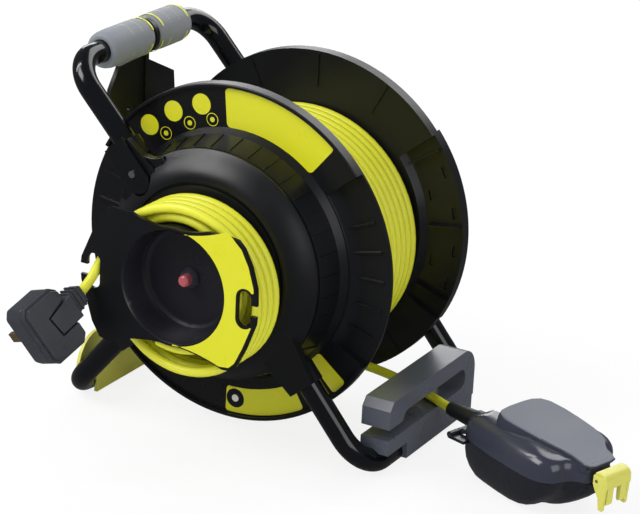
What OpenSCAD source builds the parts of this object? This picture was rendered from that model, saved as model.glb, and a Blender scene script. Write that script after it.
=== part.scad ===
// Reverse cable reel: 30 m of cable on a crank-wound drum between two brackets, 3 m of supply lead on a
// fixed front spool, all carried by bent steel tubes. +X right, +Y to the crank side, +Z up.
// The origin is on the floor under the middle of the reel, and lengths are in millimetres.

/* [Drum] */
// Radius of both flanges
flange_r = 145; // [143:1:150]
// Distance between the flange webs
drum_w = 120; // [119:1:122]
// Outside radius of the barrel
barrel_r = 70; // [60:1:70]
// Middle direction of the recessed pocket at the right of each flange, in degrees
pocket_mid = 5; // [0:1:10]
// Half the angle that a pocket spans, in degrees
pocket_half = 34; // [28:1:38]
// Grip ridges round the hub ring
ridges = 36; // [24:1:40]
// Stiffening ribs on the inner face of each flange
flange_ribs = 13; // [9:1:16]

/* [Cable] */
// Diameter of the yellow cable
cable_d = 8.2; // [7.4:0.1:8.4]
// Turns in the outer layer of the 30 m winding
turns = 13; // [10:1:13]
// Pitch of the winding
pitch = 8.9; // [8.8:0.1:9]
// How far the loose outer layer hangs below the axle
sag = 8; // [4:0.5:8]
// Turns in each of the two layers of the 3 m lead
lead_turns = 3.6; // [3:0.1:3.6]

/* [Frame] */
// Diameter of the steel tube
tube_d = 19; // [17:0.5:19.5]
// Wall of the steel tube
tube_wall = 1.5; // [1:0.1:2.5]
// Bend radius of the feet, at the middle of the tube
foot_bend = 32; // [28:1:36]
// Bend radius of the handle, at the middle of the tube
handle_bend = 28; // [24:1:32]
// Distance from the axle to the foot bars, along the legs
foot_reach = 206; // [202:1:210]
// Slope of the legs below the horizontal, in degrees
foot_angle = 50; // [48:1:52]
// Distance from the axle to the handle bar, along the handle's legs
handle_reach = 204; // [200:1:210]
// Direction of the handle, in degrees from +X
handle_angle = 133; // [130:1:136]

/* [Front] */
// Radius of the fixed disc that covers the front of the drum
disc_r = 98; // [96:1:98]
// Radius of the mouth of the cup
cup_r = 48; // [44:1:48]
// Radius of the floor of the cup
cup_floor_r = 38; // [34:1:40]
// Depth of the cup
cup_depth = 28; // [24:1:29]
// Thickness of the storage plate
plate_t = 3; // [2:0.5:3]

/* [Crank] */
// Throw of the winding crank
crank_r = 82; // [70:1:90]
// Direction of the crank at rest, in degrees from +X
crank_angle = 215; // [205:5:225]
// Radius of the crank knob
knob_r = 14; // [11:0.5:15]

/* [Hidden] */
$fn = 96;

// Colours
black = "#17181b";
satin_black = "#222327";
grey = "#6d7278";
dark_grey = "#3c4047";
yellow = "#d8da1e";
cable_yellow = "#dfe03a";
red = "#c0392f";
zinc = "#b9bcc0";
brass = "#c39a4a";
white = "#e6e6e2";

// Cable
cable_r = cable_d / 2;
layer = 7.5;                                  // radial step between nested layers
wind_r = barrel_r + 3 * layer + 11;           // middle of the outer layer
core_r = wind_r - sag - cable_r - 1.3;        // the three inner layers
lead_pitch = 9;
spool_r = cup_r + 1.7;                        // core that the lead is wound on
lead_in_r = spool_r + cable_r + 0.9;          // inner layer of the lead
lead_out_r = lead_in_r + cable_d + 6.6;       // outer layer of the lead, which hangs loose
lead_shift = [2.5, -5.4];                     // middle of the outer layer from the axle, in X and Z

// Frame
tube_r = tube_d / 2;
fit = 0.05;                                   // gap of a part that is held in or on another
leg_front = -93;                              // middle of the front legs along Y
leg_rear = 105;                               // middle of the rear legs along Y
foot_offset = 15;                             // the legs' lines pass the axle at this distance
handle_offset = 8;
socket_s = 110;                               // where the tubes enter the brackets, along the legs
sleeve_r = 12.5;
grip_r = 16.5;
grip_from = -52;
grip_to = 68;
groove_y = 13;                                // middle of the groove between the two grip halves
groove_w = 6;

// Stations along the axle, from the middle of the drum
web = 2.5;
front_web = -drum_w / 2;
rear_web = drum_w / 2;
ring_front = -96.8;                           // front edge of the ridged hub ring
ring_back = -74;
disc_back = -97.6;
disc_mid = -114;                              // crest of the fixed disc, at the groove
hub_face = -115;                              // flat middle of the fixed disc
plate_front = -162;
plate_back = plate_front + plate_t;
cup_floor = plate_front + cup_depth;
crank_y = 118;
crank_t = 10;
knob_len = 52;

// Middle of the foot bar and of the handle bar, in X and Z from the axle
foot_x = foot_reach * cos(foot_angle) + foot_offset * sin(foot_angle);
foot_z = -foot_reach * sin(foot_angle) + foot_offset * cos(foot_angle);
handle_x = handle_reach * cos(handle_angle) - handle_offset * sin(handle_angle);
handle_z = handle_reach * sin(handle_angle) + handle_offset * cos(handle_angle);

// Place of the axle, which puts the middle of the whole reel over the origin
guide_right = foot_x + 13.5;
x_low = handle_x - grip_r;
y_high = crank_y + crank_t + 2 + knob_len;
axle = [-(x_low + guide_right) / 2, -(plate_front + y_high) / 2, tube_r - foot_z];

// Trailing socket: its own frame has +X from the cable towards the latch, and +Z up from the floor
box_at = [206.5, -5.5];                       // end of the box where the cable enters, from the axle
box_turn = -18;
box_h = 68;                                   // lid's top at its high end
seam_z = 34;
box_hinge = [-2.6, 34.2];                     // lid hinge in the box's X and Z
box_latch = [139, 41];                        // latch hinge
cable_z = 36.6;                               // middle of the cable over the floor

// Plug: its own frame has +X from the cord to the far end, +Y across and +Z to the pins
plug_at = [-78.6, -176.1, -18.1];
plug_x = [-0.2147, -0.8810, -0.4235];
plug_z = [-0.8544, 0.3799, -0.3571];

// Route of the cable from the winding, over the guide and to the trailing socket
cord_route = [
    [14, 46, -121], [30, 46, -121], [45, 45.8, -121], [60, 45, -121], [75, 43.2, -121],
    [88, 40.6, -121], [100, 37.4, -121], [111, 33.8, -121], [122, 29.8, -121], [133, 25.2, -121],
    [143, 20.4, -121], [152, 15.8, -121], [161, 10.9, -121], [166, 8.2, -121.06],
    [170.8, 6.1, -121.06], [174.2, 5, -121.06], [177, 4.1, -121.06], [180.8, 2.8, -121.06],
];
// Route of the lead from its spool, through the notch of the storage plate and to the plug
lead_route = [
    [-44.5, -153.5, 45.8], [-47.8, -153.5, 42.7], [-51.7, -153.5, 38.7], [-55.3, -153.4, 34.5],
    [-58.7, -153.3, 30.1], [-61.9, -153.2, 25.6], [-64.8, -153.2, 20.9], [-67.4, -153.4, 16],
    [-69.7, -154, 11.1], [-71.6, -155.3, 6.1], [-73.2, -157.2, 1.2], [-74.4, -159.8, -3.5],
    [-75.4, -163, -7.9], [-76.4, -166.8, -11.9], [-77.4, -171, -15.2], [-78.4, -175.2, -17.7],
];

// ---------------------------------------------------------------- helpers

// Moves a piece from the axle's frame to the row's frame
module place() { translate(axle) children(); }

// Solid of revolution about the axle, from points [radius, y]
module turned(points, angle = 360, from = 0) {
    rotate([0, -from, 0]) rotate([-90, 0, 0])
        rotate([0, 0, angle == 360 ? 0 : -angle]) rotate_extrude(angle = angle) polygon(points);
}

// Ring about the axle
module ring(r_out, r_in, y0, y1) {
    turned([[r_in, y0], [r_out, y0], [r_out, y1], [r_in, y1]]);
}

// Extrudes a shape drawn in X and Z along the axle
module slab(y0, y1) {
    translate([0, y1, 0]) rotate([90, 0, 0]) linear_extrude(y1 - y0) children();
}

// Cylinder along the axle at X and Z
module bar(r, y0, y1, x = 0, z = 0) {
    translate([x, y1, z]) rotate([90, 0, 0]) cylinder(r = r, h = y1 - y0);
}

// Turns +X to a direction in the XZ plane, anticlockwise from +X as seen from the front
module facing(angle) { rotate([0, -angle, 0]) children(); }

// Copies at equal angles about the axle
module around(count, first = 0) {
    for (k = [0:count - 1]) facing(first + k * 360 / count) children();
}

// Pan-head screw along -Y, its head outside y
module screw(r, y, length) {
    bar(1.9 * r, y - 1.1 * r, y);
    bar(r, y, y + length);
}

// Quarter of a bent bar round [0, 0], from +X to +Y
module elbow(r, bend) {
    rotate_extrude(angle = 90) translate([bend, 0]) circle(r = r, $fn = 48);
}

// Solid U-shaped bar in the XY plane: legs along +X, bar at x = reach
module u_bar(r, start, reach, bend) {
    for (side = [0, 1]) {
        y = side == 0 ? leg_front : leg_rear;
        dir = side == 0 ? 1 : -1;
        translate([start, y, 0]) rotate([0, 90, 0]) cylinder(r = r, h = reach - bend - start, $fn = 48);
        translate([reach - bend, y + dir * bend, 0])
            rotate([0, 0, side == 0 ? -90 : 0]) elbow(r, bend);
    }
    translate([reach, leg_front + bend, 0])
        rotate([-90, 0, 0]) cylinder(r = r, h = leg_rear - leg_front - 2 * bend, $fn = 48);
}

// U-shaped tube whose legs point away from the axle
module u_tube(angle, offset, reach, bend) {
    facing(angle) translate([0, 0, offset]) difference() {
        u_bar(tube_r, socket_s, reach, bend);
        u_bar(tube_r - tube_wall, socket_s - 1, reach, bend);
    }
}

function unit(v) = v / norm(v);

// Closed tube of given radius through points: rings square to the path, faces are triangles
module sweep(points, r, sides, ref) {
    n = len(points);
    tangent = [for (i = [0:n - 1]) unit(points[min(i + 1, n - 1)] - points[max(i - 1, 0)])];
    across = [for (t = tangent) unit(cross(ref, t))];
    verts = [
        for (i = [0:n - 1], k = [0:sides - 1])
            points[i] + r * (cos(360 * k / sides) * across[i]
                + sin(360 * k / sides) * cross(tangent[i], across[i])),
        points[0], points[n - 1],
    ];
    sides_faces = [
        for (i = [0:n - 2], k = [0:sides - 1])
            let (a = i * sides + k, b = i * sides + (k + 1) % sides)
            each [[a, a + sides, b], [b, a + sides, b + sides]]
    ];
    caps = [
        for (k = [0:sides - 1])
            each [[n * sides, k, (k + 1) % sides],
                [n * sides + 1, (n - 1) * sides + (k + 1) % sides, (n - 1) * sides + k]]
    ];
    polyhedron(verts, concat(sides_faces, caps));
}

// Point of a coil about the axle: angle, radius, y and the shift of its middle in X and Z
function on_coil(a, r, y, shift) = [r * cos(a) + shift[0], y, r * sin(a) + shift[1]];

// ---------------------------------------------------------------- frame

module handle_tube() {
    color(black) place() u_tube(handle_angle, handle_offset, handle_reach, handle_bend);
}

module right_foot_tube() {
    color(black) place() u_tube(-foot_angle, foot_offset, foot_reach, foot_bend);
}

module left_foot_tube() {
    color(black) place() mirror([1, 0, 0]) u_tube(-foot_angle, foot_offset, foot_reach, foot_bend);
}

// One half of the foam grip, with swollen middle and rounded end
module grip_half(y0, y1) {
    color(grey) place() translate([handle_x, 0, handle_z])
        turned([
            [tube_r + fit, y0], [grip_r - 3.5, y0], [grip_r - 1.2, y0 + 2.2], [grip_r - 0.4, y0 + 7],
            [grip_r, y0 + 16], [grip_r, y1 - 16], [grip_r - 0.4, y1 - 7], [grip_r - 1.2, y1 - 2.2],
            [grip_r - 3.5, y1], [tube_r + fit, y1],
        ]);
}

module grip_front() { grip_half(grip_from, groove_y - groove_w / 2); }

module grip_rear() { grip_half(groove_y + groove_w / 2, grip_to); }

// Sleeve in the groove that the wall bracket turns on
module grip_collar() {
    color(black) place() translate([handle_x, 0, handle_z])
        ring(12, tube_r + fit, groove_y - groove_w / 2, groove_y + groove_w / 2);
}

// ---------------------------------------------------------------- brackets

// Outline of one arm in X and Z: wide at the disc, narrow at the tube's sleeve
module arm_shape(root_r, root_w, tip_s, tip_w) {
    polygon([[root_r, -root_w / 2], [tip_s, -tip_w / 2], [tip_s, tip_w / 2], [root_r, root_w / 2]]);
}

// Sleeve that takes the end of a tube, with its arm
module arm(leg_y, y0, y1, root_r, root_w) {
    slab(y0, y1) arm_shape(root_r, root_w, socket_s + 14, 2 * sleeve_r);
    translate([socket_s - 3, leg_y, 0]) rotate([0, 90, 0]) cylinder(r = sleeve_r, h = 17);
}

// Holds an arm's children on the line of each leg
module at_legs() {
    facing(handle_angle) translate([0, 0, handle_offset]) children();
    facing(-foot_angle) translate([0, 0, foot_offset]) children();
    mirror([1, 0, 0]) facing(-foot_angle) translate([0, 0, foot_offset]) children();
}

// Radius and y of the fixed disc's outer face, from its rim to its crest
function dome(inset) = [
    for (k = [0:8]) let (u = k / 8)
        [disc_r - 2 - inset - (disc_r - 76 - inset) * u,
            disc_back - 3.4 + inset + (disc_mid - disc_back + 3.4) * sin(90 * u)]
];

module front_bracket() {
    color(satin_black) place() difference() {
        union() {
            turned(concat(
                [[disc_r - 3, disc_back], [disc_r, disc_back], [disc_r, disc_back - 2]],
                dome(0),
                [[73.4, disc_mid + 2], [72, disc_mid + 2], [71.4, hub_face], [54, hub_face],
                    [24, hub_face], [24, hub_face + 3], [70, hub_face + 3], [76, disc_mid + 4.4],
                    [84, disc_mid + 5.2], [92, disc_mid + 11]]));
            at_legs() arm(leg_front, -107, -100.4, 74, 42);
        }
        at_legs() translate([socket_s, leg_front, 0]) rotate([0, 90, 0]) cylinder(r = tube_r + fit, h = 40);
        for (k = [0:2]) facing(120 * k) bar(1.7, hub_face - 1, hub_face + 4, 31);
        for (k = [0:3]) facing(45 + 90 * k) bar(1.7, hub_face - 1, hub_face + 4, 43);
        facing(handle_angle) translate([0, 0, handle_offset]) {
            bar(1.6, -108, -98, 98);
            // seat of the clamp cover
            slab(-120, -107) {
                translate([91, 0]) circle(r = 12.6);
                translate([91, -12.6]) square([40, 25.2]);
            }
        }
    }
}

module rear_bracket() {
    color(satin_black) place() difference() {
        union() {
            turned([[20, 98], [64, 98], [68, 101], [68, 108], [64, 111], [30, 111], [30, 114], [20, 114]]);
            at_legs() arm(leg_rear, 99, 110, 50, 44);
        }
        at_legs() translate([socket_s, leg_rear, 0]) rotate([0, 90, 0]) cylinder(r = tube_r + fit, h = 40);
        around(8, 22.5) slab(97, 103) polygon([[34, -6], [58, -13], [58, 13], [34, 6]]);
        facing(handle_angle) translate([0, 0, handle_offset]) bar(1.6, 98, 112, 98);
    }
}

// Pill-shaped cover over the end of the handle's leg, cut straight at its outer end
module clamp_cover() {
    color(satin_black) place() facing(handle_angle) translate([0, 0, handle_offset]) difference() {
        slab(-110.5, -107) {
            translate([91, 0]) circle(r = 11);
            translate([91, -11]) square([36, 22]);
        }
        bar(1.75, -111, -106, 98);
    }
}

module clamp_screws() {
    color(zinc) place() facing(handle_angle) translate([98, 0, handle_offset]) {
        screw(1.55, -110.5, 11);
        rotate([0, 0, 180]) screw(1.55, -110, 11);
    }
}

// ---------------------------------------------------------------- bearings and contacts

// Hollow journal that the front of the drum turns on; the lead passes through it
module stub_axle() {
    color(zinc) place() difference() {
        turned([[9, -112], [38, -112], [38, -108.5], [17, -108.5], [14, -105.5], [14, -68], [13, -67],
            [9, -67]]);
        for (k = [0:2]) facing(120 * k) bar(1.5, -113, -107, 31);
    }
}

module axle_screws() {
    color(zinc) place() for (k = [0:2]) facing(120 * k) translate([31, 0, 0]) screw(1.45, hub_face, 8);
}

module front_bush() { color(white) place() ring(18, 14 + fit, -92, -68); }

module rear_bush() { color(white) place() ring(20 - fit, 16 + fit, 98, 114); }

// Three contact rings on the drum's hub
module slip_rings() {
    color(brass) place() for (k = [0:2]) ring(25, 22.5 + fit, -91 + 5 * k, -88 + 5 * k);
}

// Holder of the brushes, fixed behind the disc
module brush_carrier() {
    color(dark_grey) place() facing(200) difference() {
        translate([27.5, -108.5, -11]) cube([9, 34.5, 22]);
        for (k = [0:2]) translate([27, -89.5 + 5 * k, 0]) rotate([0, 90, 0]) cylinder(r = 1.3 + fit, h = 7);
    }
}

module brushes() {
    color(brass) place() facing(200)
        for (k = [0:2]) translate([25 + fit, -89.5 + 5 * k, 0]) rotate([0, 90, 0]) cylinder(r = 1.3, h = 8);
}

// ---------------------------------------------------------------- front spool

// C-shaped cable notch, cut into the plate's edge at x on the side dir
module notch(x, dir) {
    for (z = [6.7, -11.2]) translate([dir * x, z]) circle(r = 6);
    translate([dir * x - 6, -11.2]) square([12, 17.9]);
    translate([dir > 0 ? x : -x - 20, -7]) square([20, 9]);
}

// Storage plate: two lobes and a waist that follows the cup
module plate_shape() {
    waist = cup_r + 2;
    difference() {
        union() {
            polygon([[-66, 51], [-77, 30], [-86.5, 8], [-87.5, 0], [-86.5, -12], [-81.5, -27], [-75.5, -46],
                [-68, -58], [-60, -60.5], [-48, -59.5], [48, -58.5], [56, -58], [62, -53], [69.5, -37],
                [78, -14], [79, -2], [78.3, 16], [73, 33.5], [66, 47], [60, 53], [52, 54], [-48, 55],
                [-58, 56]]);
        }
        // concave top and bottom edges
        translate([-2, waist + 118]) circle(r = 119, $fn = 160);
        translate([-4, -waist - 150]) circle(r = 151, $fn = 160);
        notch(67.5, 1);
        notch(74.5, -1);
    }
    circle(r = waist);
}

module lead_spool() {
    color(satin_black) place() difference() {
        union() {
            slab(plate_front, plate_back) plate_shape();
            turned([[0, cup_floor + 3], [0, plate_back], [spool_r, plate_back], [spool_r, hub_face],
                [spool_r - 2.4, hub_face], [spool_r - 2.4, cup_floor + 3]]);
            for (k = [0:3]) facing(45 + 90 * k) bar(4.8, cup_floor + 2, hub_face, 43);
        }
        turned([[0, cup_floor], [cup_floor_r, cup_floor], [cup_floor_r + 4, cup_floor - 2],
            [cup_floor_r + 6, cup_floor - 6], [cup_r - 2, plate_front + 3], [cup_r, plate_front],
            [cup_r, plate_front - 1], [0, plate_front - 1]]);
        bar(7 + fit, plate_front, cup_floor + 4);
        for (k = [0:3]) facing(45 + 90 * k) bar(1.5 + fit, hub_face - 10, hub_face + 1, 43);
    }
}

module spool_screws() {
    color(zinc) place() for (k = [0:3]) facing(45 + 90 * k) translate([43, 0, 0])
        rotate([0, 0, 180]) screw(1.5, -hub_face - 3, 12);
}

module thermal_cutout() {
    color(dark_grey) place() difference() {
        translate([-17, cup_floor + 3, -13]) cube([34, 12, 26]);
        bar(5.3, cup_floor + 2, cup_floor + 9);
    }
}

module button_bush() {
    color(dark_grey) place() turned([[5.05, cup_floor - 5], [6.4, cup_floor - 5], [8.5, cup_floor - 2],
        [9, cup_floor], [7, cup_floor], [7, cup_floor + 3], [5.05, cup_floor + 3]]);
}

module reset_button() {
    color(red) place() turned([[0, cup_floor - 12], [3.4, cup_floor - 12], [4.6, cup_floor - 11],
        [5, cup_floor - 9.5], [5, cup_floor + 2], [0, cup_floor + 2]]);
}

// ---------------------------------------------------------------- drum

pocket_from = pocket_mid - pocket_half;
lobe_span = 180 - 2 * pocket_half;

// Sector of a flange: both lobes, both pockets or all the step walls between them
module sectors(points, first, span) {
    for (turn = [0, 180]) turned(points, span, first + turn);
}

module front_flange() {
    r = flange_r;
    y = front_web;
    color(satin_black) place() difference() {
        union() {
            turned([[18, -92], [22.5, -92], [22.5, y - 6], [101, y - 6], [101, ring_back], [104, ring_back],
                [108, y - 7.5], [r - 3, y - 7.5], [r - 3, y - 11], [r - 0.8, y - 11], [r, y - 10.2], [r, y],
                [110, y], [108, y - 3], [18, y - 3]]);
            around(6, 20) translate([40, y - 12, -1]) cube([54, 7, 2]);
        }
        // hollow behind the raised lobes that carry the labels
        sectors([[112, y - 5], [r - 2.4, y - 5], [r - 2.4, y + 1], [112, y + 1]],
            pocket_mid + pocket_half + 1, lobe_span - 2);
        // pockets set back at the left and right
        sectors([[106.5, y - 15], [109.5, y - 6.6], [113, y - 4.5], [120, y - web], [r + 1, y - web],
            [r + 1, y - 15]],
            pocket_from, 2 * pocket_half);
        around(4, 45) bar(1.7, y - 8, y, 60);
    }
    color(satin_black) place() pocket_ribs();
}

// Tapered ring round the hub, with grip ridges along its slope and a spigot into the flange
module hub_ring() {
    color(satin_black) place() {
        turned([[95.5, ring_front], [98.5, ring_front], [104, ring_back - fit], [100.9, ring_back - fit],
            [100.9, ring_back + 5], [98.5, ring_back + 5], [98.5, ring_back - 4]]);
        around(ridges, 5) translate([0, 0, -0.7]) linear_extrude(1.4)
            polygon([[97.5, ring_front + 1], [99.7, ring_front + 1.6], [104.7, ring_back - 1.2],
                [102.5, ring_back - 0.8]]);
    }
}

// Five short ribs in each pocket, nearly level and a little fanned
module pocket_ribs() {
    for (side = [0, 180], k = [-2:2])
        facing(side + pocket_mid - 3 + 10.5 * k) translate([114, front_web - 4.5, -0.9]) cube([24, 3, 1.8]);
}

module rear_flange() {
    r = flange_r;
    y = rear_web;
    color(satin_black) place() difference() {
        union() {
            difference() {
                turned([[16, y], [r, y], [r, y + 15.5], [99, y + 15.5], [99, y + 3], [16, y + 3]]);
                // hollow behind the lobes
                sectors([[98, y + 3], [103, y + web], [r - 2.4, y + web], [r - 2.4, y + 11], [r + 1, y + 11],
                    [r + 1, y + 17], [98, y + 17]],
                    pocket_mid + pocket_half + 1, lobe_span - 2);
                // pockets: the web is set back on its inner face
                sectors([[98, y + 3], [107, y + 3], [112, y + 7], [r - 2.4, y + 7], [r - 2.4, y + 17],
                    [98, y + 17]],
                    pocket_from, 2 * pocket_half);
                sectors([[106, y - 1], [107, y + 0.4], [112, y + 4.5], [r + 1, y + 4.5], [r + 1, y - 1]],
                    pocket_from, 2 * pocket_half);
            }
            around(6, 20) translate([30, y + 2, -1]) cube([66, 6, 2]);
            for (k = [0:flange_ribs - 1]) facing(89.5 + k * 360 / flange_ribs)
                translate([114, y - 1.2, -0.6]) cube([flange_r - 116, in_pocket(k) ? 6.4 : 2, 1.2]);
        }
        around(4, 45) bar(1.7, y - 1, y + 5, 60);
        // blind clip slots in the pockets
        for (side = [0, 180]) {
            for (a = [26, 11, -3, -16]) facing(side + a) translate([136, y, -5]) cube([3.5, 5.8, 10]);
            for (a = [19, -9]) facing(side + a) translate([117, y, -5]) cube([4, 5.8, 9]);
        }
    }
}

// Whether a rib of the rear flange stands in a pocket
function in_pocket(k) = let (a = (89.5 + k * 360 / flange_ribs - pocket_mid + 90) % 180 - 90)
    abs(a) < pocket_half;

module barrel() {
    color(satin_black) place() difference() {
        union() {
            ring(barrel_r, barrel_r - 3, front_web - 3, rear_web);
            around(4, 45) bar(5, front_web - 3, rear_web, 60);
            around(4, 45) translate([58, front_web - 3, -1]) cube([10.5, drum_w + 3, 2]);
        }
        around(4, 45) bar(1.4, front_web - 4, front_web + 15, 60);
        around(4, 45) bar(1.4, rear_web - 15, rear_web + 1, 60);
    }
}

module flange_screws() {
    color(zinc) place() around(4, 45) translate([60, 0, 0]) {
        screw(1.35, front_web - 6, 14);
        rotate([0, 0, 180]) screw(1.35, -rear_web - 3, 14);
    }
}

// Journal of the crank end, with a flange that is screwed to the drum
module rear_hub() {
    color(dark_grey) place() {
        turned([[9, rear_web - 6], [16, rear_web - 6], [16, crank_y], [12, crank_y], [12, 105.5],
            [2 + fit, 105.5], [2 + fit, 92], [9, 92]]);
    }
}

// ---------------------------------------------------------------- crank

module crank_arm() {
    color(satin_black) place() facing(crank_angle) difference() {
        union() {
            ring(21, 2.1, crank_y, crank_y + crank_t);
            ring(12 - fit, 2.1, crank_y - 12, crank_y);
            bar(11, crank_y, crank_y + crank_t, crank_r);
            slab(crank_y + 2, crank_y + crank_t) polygon([[10, -15], [crank_r, -10], [crank_r, 10], [10, 15]]);
        }
        bar(3 + fit, crank_y - 1, crank_y + crank_t + 1, crank_r);
        // recess of the arm's inner side
        slab(crank_y, crank_y + 5) polygon([[24, -9], [68, -6], [68, 6], [24, 9]]);
    }
}

module crank_screw() {
    color(zinc) place() rotate([0, 0, 180]) screw(2, -crank_y - crank_t, 34);
}

module knob_pin() {
    y = crank_y + crank_t;
    color(zinc) place() facing(crank_angle) {
        bar(3, crank_y, y + knob_len - 3, crank_r);
        bar(5, y + knob_len - 3, y + knob_len, crank_r);
    }
}

// Turning knob of the crank, swollen for the hand
module crank_knob() {
    y = crank_y + crank_t + 0.4;
    color(satin_black) place() facing(crank_angle) translate([crank_r, 0, 0])
        turned([[3.05, y], [knob_r - 3, y], [knob_r - 1, y + 2], [knob_r - 2, y + 14], [knob_r, y + 34],
            [knob_r - 1, y + 44], [knob_r - 4, y + knob_len - 1.4], [6, y + knob_len + 1.6],
            [5.4, y + knob_len + 1.6], [5.4, y + knob_len - 4], [3.05, y + knob_len - 4]]);
}

// ---------------------------------------------------------------- cable

module cable_core() {
    color(cable_yellow) place() ring(core_r, barrel_r + fit, front_web + 1.5, rear_web - 1.5);
}

wind_steps = round(24 * (turns - 0.6));
wind_points = [
    for (i = [0:wind_steps])
        on_coil(-90 + 15 * i, wind_r, pitch * (i - wind_steps / 2) / 24, [0, -sag])
];

module cable_winding() {
    color(cable_yellow) place() sweep(wind_points, cable_r, 6, [0, 1, 0]);
}

// Lead: an inner layer to the rear, half a turn outwards, and an outer layer back to the front
lead_front = -153.5;
lead_back = lead_front + lead_pitch * lead_turns;
steps = round(24 * lead_turns);
lead_end = 132;
lead_start = lead_end - 15 * (2 * steps + 12);
lead_points = concat(
    [for (i = [0:steps]) on_coil(lead_start + 15 * i, lead_in_r, lead_front + lead_pitch * i / 24, [0, 0])],
    [for (i = [1:11]) let (u = i / 12)
        on_coil(lead_start + 15 * (steps + i), lead_in_r + (lead_out_r - lead_in_r) * u,
            lead_back + 1.4 * sin(180 * u),
            lead_shift * u)],
    [for (i = [0:steps]) on_coil(lead_start + 15 * (steps + 12 + i), lead_out_r,
        lead_back - lead_pitch * i / 24, lead_shift)]);

module lead_coil() {
    color(cable_yellow) place() sweep(lead_points, cable_r, 6, [0, 1, 0]);
}

module lead_tail() { color(cable_yellow) place() sweep(lead_route, cable_r, 8, [0, 0, 1]); }

module trailing_cord() { color(cable_yellow) place() sweep(cord_route, cable_r, 10, [0, 0, 1]); }

// Least gap of a coil to itself: points more than half a turn apart along it
function self_gap(points) = min([
    for (i = [0:3:len(points) - 1], j = [i + 12:1:len(points) - 1]) norm(points[i] - points[j])
]) - cable_d;

echo(winding_gap = self_gap(wind_points), lead_gap = self_gap(lead_points));

// ---------------------------------------------------------------- cable guide and foot plate

// Loop of the guide in Y and Z, open towards the front through a narrow neck
module guide_shape() {
    top = foot_z + 56;
    difference() {
        union() {
            translate([-76, foot_z + 10]) square([134, 46]);
            translate([58, top - 22]) circle(r = 22);
            translate([58, foot_z + 10]) square([22, 24]);
        }
        // slot that the cable runs in
        translate([-43, foot_z + 32]) circle(r = 9);
        translate([-43, foot_z + 23]) square([96, 18]);
        translate([53, foot_z + 32]) circle(r = 9);
        // neck where the cable is slipped in
        translate([-77, foot_z + 23]) square([34, 10]);
        // bevel of the hooked end
        polygon([[-77, top + 1], [-69, top + 1], [-77, top - 8]]);
    }
}

module cable_guide() {
    color(grey) place() difference() {
        union() {
            translate([foot_x - 12.5, 0, 0]) rotate([90, 0, 90]) linear_extrude(26) guide_shape();
            translate([foot_x - 12.5, -42, foot_z - 4.5]) cube([26, 120, 16]);
        }
        translate([foot_x, -80, foot_z]) rotate([-90, 0, 0]) cylinder(r = tube_r + fit, h = 200);
        translate([foot_x - 8.6, -80, foot_z - 10]) cube([17.2, 200, 10]);
        facing(-foot_angle) translate([0, 0, foot_offset])
            u_bar(tube_r + 0.3, socket_s, foot_reach, foot_bend);
    }
}

// Yellow side plate on the left foot bar: a fin with a rounded front, clipped over the tube
module foot_plate() {
    color(yellow) place() difference() {
        union() {
            translate([-foot_x + tube_r + fit, 0, 0]) rotate([90, 0, 90]) linear_extrude(3) union() {
                translate([-70, foot_z + 22]) circle(r = 28);
                translate([-70, foot_z - 8.5]) square([150, 58.5]);
                translate([-98, foot_z - 2]) square([40, 24]);
            }
            for (y = [-40, 50]) translate([-foot_x, y, foot_z]) difference() {
                rotate([-90, 0, 0]) cylinder(r = tube_r + 3, h = 22);
                translate([-20, -1, -20]) cube([40, 24, 16]);
            }
        }
        translate([-foot_x, -60, foot_z]) rotate([-90, 0, 0]) cylinder(r = tube_r + fit, h = 200);
        mirror([1, 0, 0]) facing(-foot_angle) translate([0, 0, foot_offset])
            u_bar(tube_r + 0.4, socket_s, foot_reach, foot_bend);
        translate([-foot_x, -101, foot_z - 10]) cube([30, 31, 24]);
    }
}

// ---------------------------------------------------------------- trailing socket

// Moves a piece from the box's frame to the axle's frame
module box_place() {
    translate([box_at[0], box_at[1], foot_z - tube_r]) rotate([0, 0, box_turn]) children();
}

// Solid through outlines with the same number of points: levels of [z, length scale, width scale]
// and, where the level is shifted along the box, its shift
module loft(outline, levels, middle) {
    n = len(outline);
    m = len(levels);
    verts = [
        for (l = levels, p = outline)
            [middle[0] + (len(l) > 3 ? l[3] : 0) + (p[0] - middle[0]) * l[1],
                middle[1] + (p[1] - middle[1]) * l[2], l[0]],
        for (l = [levels[0], levels[m - 1]]) [middle[0] + (len(l) > 3 ? l[3] : 0), middle[1], l[0]],
    ];
    walls = [
        for (i = [0:m - 2], k = [0:n - 1])
            let (a = i * n + k, b = i * n + (k + 1) % n)
            each [[a, b, a + n], [b, b + n, a + n]]
    ];
    ends = [
        for (k = [0:n - 1])
            each [[n * m, (k + 1) % n, k], [n * m + 1, (m - 1) * n + k, (m - 1) * n + (k + 1) % n]]
    ];
    polyhedron(verts, concat(walls, ends));
}

// Half of the box in plan: square at the cable, widest before its waist, narrow at the latch
box_half = [
    [2, 17], [7, 26], [17, 31], [33, 35], [60, 40], [85, 43.5], [100, 43], [109, 39], [114, 31],
    [115, 23], [121, 17], [128, 14], [132, 9],
];
box_plan = concat([[1, 0]], box_half, [[134, 0]],
    [for (i = [len(box_half) - 1:-1:0]) [box_half[i][0], -box_half[i][1]]]);
// Half of the raised top of the lid
top_half = [
    [36, 19], [40, 27], [50, 31], [66, 31], [85, 28], [103, 25], [118, 22], [127, 19], [131, 12],
];
lid_plan = concat([[34.5, 0]], top_half, [[132, 0]],
    [for (i = [len(top_half) - 1:-1:0]) [top_half[i][0], -top_half[i][1]]]);
box_mid = [58, 0];
top_mid = [84, 0];

// Space below the sloping top of the lid
module below(z) {
    translate([35, -60, z]) rotate([0, 5, 0]) translate([-80, 0, -60]) cube([220, 120, 60]);
}

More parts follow.
